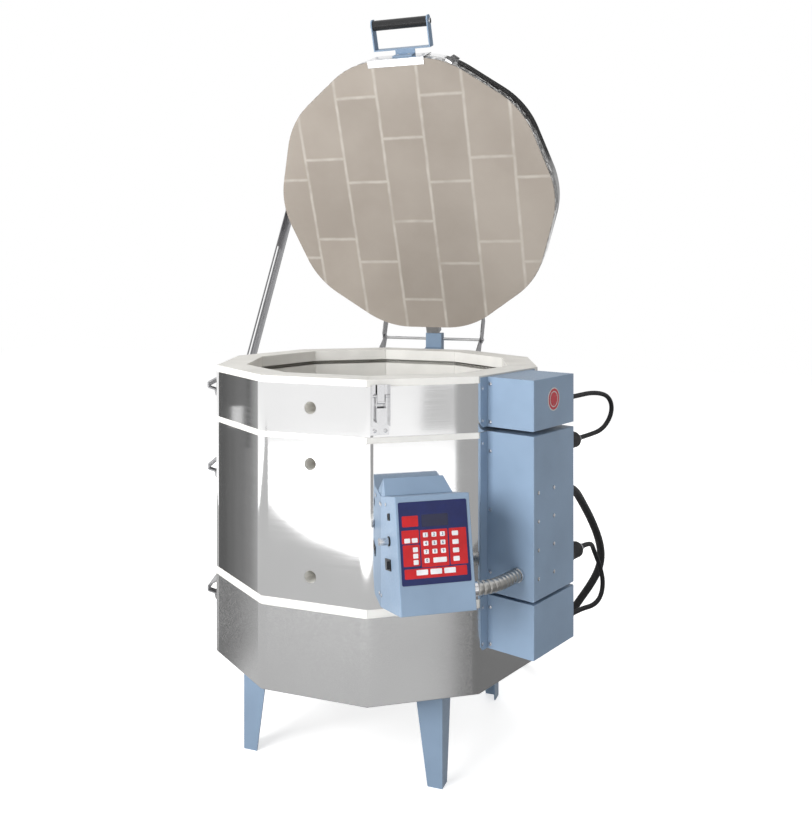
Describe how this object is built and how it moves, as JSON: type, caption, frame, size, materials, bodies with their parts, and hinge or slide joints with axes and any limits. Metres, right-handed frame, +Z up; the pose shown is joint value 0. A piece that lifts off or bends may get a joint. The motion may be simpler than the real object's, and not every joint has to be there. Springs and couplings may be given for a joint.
{
  "type": "electric kiln",
  "caption": "Top-loading polygonal electric pottery kiln in polished jackets, with hinged brick lid on a slotted prop arm, keypad controller, electrical boxes and a leg stand.",
  "frame": {"origin": "on the floor under the chamber's vertical axis, between the four feet", "axes": "+Z up, -Y out of the front flat with the peepholes, +X towards the electrical boxes"},
  "size_m": [0.9139, 0.9784, 1.6737],
  "materials": {
    "firebrick": "matt, slightly sandy",
    "polished_steel": "mirror polished",
    "galvanised_pan": "dull zinc",
    "blue_paint": "semi-gloss powder coat",
    "bright_sheet": "bright plated sheet",
    "bright_fixing": "bright zinc",
    "heating_wire": "oxidised",
    "white_ceramic": "matt",
    "brass": "plain",
    "relay_body": "matt",
    "badge_red": "gloss enamel",
    "keypad_face": "printed membrane",
    "black_plastic": "satin",
    "grip_black": "satin",
    "conduit_steel": "bright, ribbed",
    "cord_rubber": "satin",
    "plug_rubber": "satin",
    "collar_light": "satin"
  },
  "bodies": {
    "body": {"bricks_low": "firebrick", "bricks_mid": "firebrick", "bricks_top": "firebrick", "floor_slab": "firebrick", "jacket_low": "polished_steel", "jacket_mid": "polished_steel", "jacket_top": "polished_steel", "bottom_pan": "galvanised_pan", "legs": "blue_paint", "stand_frame": "blue_paint", "box_backs": "blue_paint", "box_cover_top": "blue_paint", "box_cover_main": "blue_paint", "box_cover_low": "blue_paint", "controller_back": "blue_paint", "controller_case": "blue_paint", "controller_hood": "blue_paint", "hinge_post": "blue_paint", "ring_handles": "bright_sheet", "latch_base": "bright_sheet", "prop_stud": "bright_sheet", "hinge_brackets": "bright_sheet", "jacket_screws": "bright_fixing", "cabinet_screws": "bright_fixing", "stand_bolts": "bright_fixing", "hinge_rod": "bright_fixing", "elements": "heating_wire", "element_bushings": "white_ceramic", "thermocouple": "white_ceramic", "element_connectors": "brass", "supply_blades": "brass", "relays": "relay_body", "badge": "badge_red", "keypad": "keypad_face", "panel_fittings": "black_plastic", "cord_entries": "black_plastic", "conduit": "conduit_steel", "conduit_fittings": "conduit_steel", "jumper_upper": "cord_rubber", "jumper_lower": "cord_rubber", "supply_cord": "cord_rubber", "supply_coil": "cord_rubber", "jumper_plugs": "plug_rubber", "supply_plug": "plug_rubber", "plug_collars": "collar_light"},
    "lid": {"lid_slab": "firebrick", "lid_band": "polished_steel", "handle_plate": "bright_sheet", "handle_bracket": "blue_paint", "handle_grip": "grip_black", "handle_bolt": "bright_fixing", "hinge_arms": "bright_sheet", "lid_screws": "bright_fixing", "prop_pivot": "bright_sheet", "latch_strike": "bright_sheet"},
    "prop_arm": {"prop_arm": "bright_sheet"},
    "latch_lever": {"latch_lever": "bright_sheet"},
    "latch_bail": {"latch_bail": "bright_sheet"},
    "rocker": {"rocker": "black_plastic"},
    "fuse_cap": {"fuse_cap": "bright_fixing"}
  },
  "joints": [
    {"name": "lid_hinge", "type": "hinge", "parent": "body", "child": "lid", "pos_m": [0, 0.4023, 0.862], "axis": [1, 0, 0], "range_deg": [0, 68.4]},
    {"name": "prop_hinge", "type": "hinge", "parent": "lid", "child": "prop_arm", "pos_m": [-0.387, 0.29577, 1.21745], "axis": [1, 0, 0], "range_deg": [-34.25, 0]},
    {"name": "latch_lever_hinge", "type": "hinge", "parent": "body", "child": "latch_lever", "pos_m": [0.1415, -0.34787, 0.806], "axis": [-0.809, -0.5878, 0], "range_deg": [0, 130]},
    {"name": "latch_bail_hinge", "type": "hinge", "parent": "latch_lever", "child": "latch_bail", "pos_m": [0.1415, -0.34787, 0.794], "axis": [-0.809, -0.5878, 0], "range_deg": [-130.1, 0.1]},
    {"name": "power_rocker", "type": "hinge", "parent": "body", "child": "rocker", "pos_m": [0.17277, -0.38752, 0.49501], "axis": [-0.1232, 0.1696, 0.9778], "range_deg": [0, 16]},
    {"name": "fuse_cap_turn", "type": "hinge", "parent": "body", "child": "fuse_cap", "pos_m": [0.17569, -0.39153, 0.54057], "axis": [-0.809, -0.5878, 0], "range_deg": [0, 60]}
  ],
  "couplings": [
    {"joint": "prop_hinge", "follows": "lid_hinge", "ratio": -0.5},
    {"joint": "latch_bail_hinge", "follows": "latch_lever_hinge", "ratio": -1}
  ]
}
